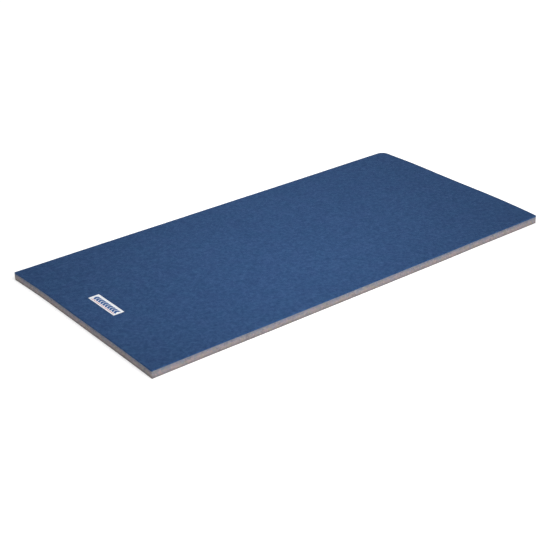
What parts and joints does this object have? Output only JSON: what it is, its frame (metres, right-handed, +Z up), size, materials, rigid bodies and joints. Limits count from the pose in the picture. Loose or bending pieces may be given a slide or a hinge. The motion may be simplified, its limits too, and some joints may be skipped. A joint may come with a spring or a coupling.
{
  "type": "landing mat",
  "caption": "Thin rectangular gymnastics landing mat: blue needle-felt carpet on grey composite foam with an anti-slip underside and a sewn label, lying flat.",
  "frame": {"origin": "centre of the underside, on the surface the mat lies on", "axes": "+X along the length, towards the end with the rounded corners; +Y across the width; +Z up through the thickness"},
  "size_m": [2, 1, 0.0354],
  "materials": {
    "blue_felt": "matt needle-felt carpet, mid navy blue",
    "carpet_binder": "thin latex binder coat, dull",
    "composite_foam": "knife-cut composite foam, taupe grey with small coloured flakes, matt",
    "adhesive_film": "dried contact adhesive, dull",
    "anti_slip_sheet": "embossed anti-slip sheet, matt dark grey",
    "label_fabric": null,
    "white_thread": "twisted polyester sewing thread"
  },
  "bodies": {
    "root": {"anti_slip_base": "anti_slip_sheet", "base_adhesive_film": "adhesive_film", "foam_core": "composite_foam", "carpet_adhesive_film": "adhesive_film", "carpet_backing": "carpet_binder", "carpet_pile": "blue_felt", "label_cloth": "label_fabric", "label_needle_thread": "white_thread", "label_bobbin_thread": "white_thread"}
  },
  "joints": []
}
